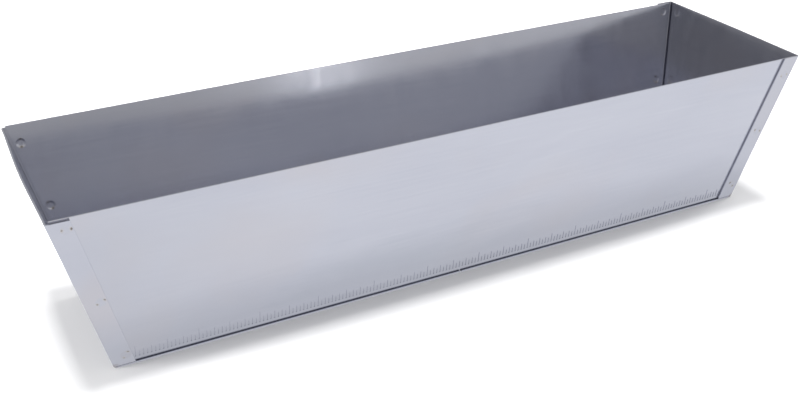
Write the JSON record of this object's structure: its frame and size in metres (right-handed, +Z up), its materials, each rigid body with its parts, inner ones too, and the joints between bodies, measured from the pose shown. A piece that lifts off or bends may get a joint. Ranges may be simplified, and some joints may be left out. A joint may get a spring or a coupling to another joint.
{
  "type": "mud pan",
  "caption": "Long flared sheet-metal trough, open at the top, with lapped and spot-welded end caps and a stamped rule, held in one hand to carry jointing compound.",
  "frame": {"origin": "middle of the surface that the pan stands on", "axes": "+X along the pan, +Y from the front wall, which carries the rule, to the back wall, +Z up"},
  "size_m": [0.3381, 0.0976, 0.0764],
  "materials": {
    "body_sheet": "bright cold-rolled stainless sheet, grain along the length",
    "cap_sheet": "bright cold-rolled stainless sheet",
    "weld_metal": "pressed spot-weld faces with a straw-coloured heat tint"
  },
  "bodies": {
    "root": {"pan_body": "body_sheet", "left_end_cap": "cap_sheet", "right_end_cap": "cap_sheet", "left_front_welds": "weld_metal", "left_back_welds": "weld_metal", "right_front_welds": "weld_metal", "right_back_welds": "weld_metal", "left_floor_welds": "weld_metal", "right_floor_welds": "weld_metal"}
  },
  "joints": []
}
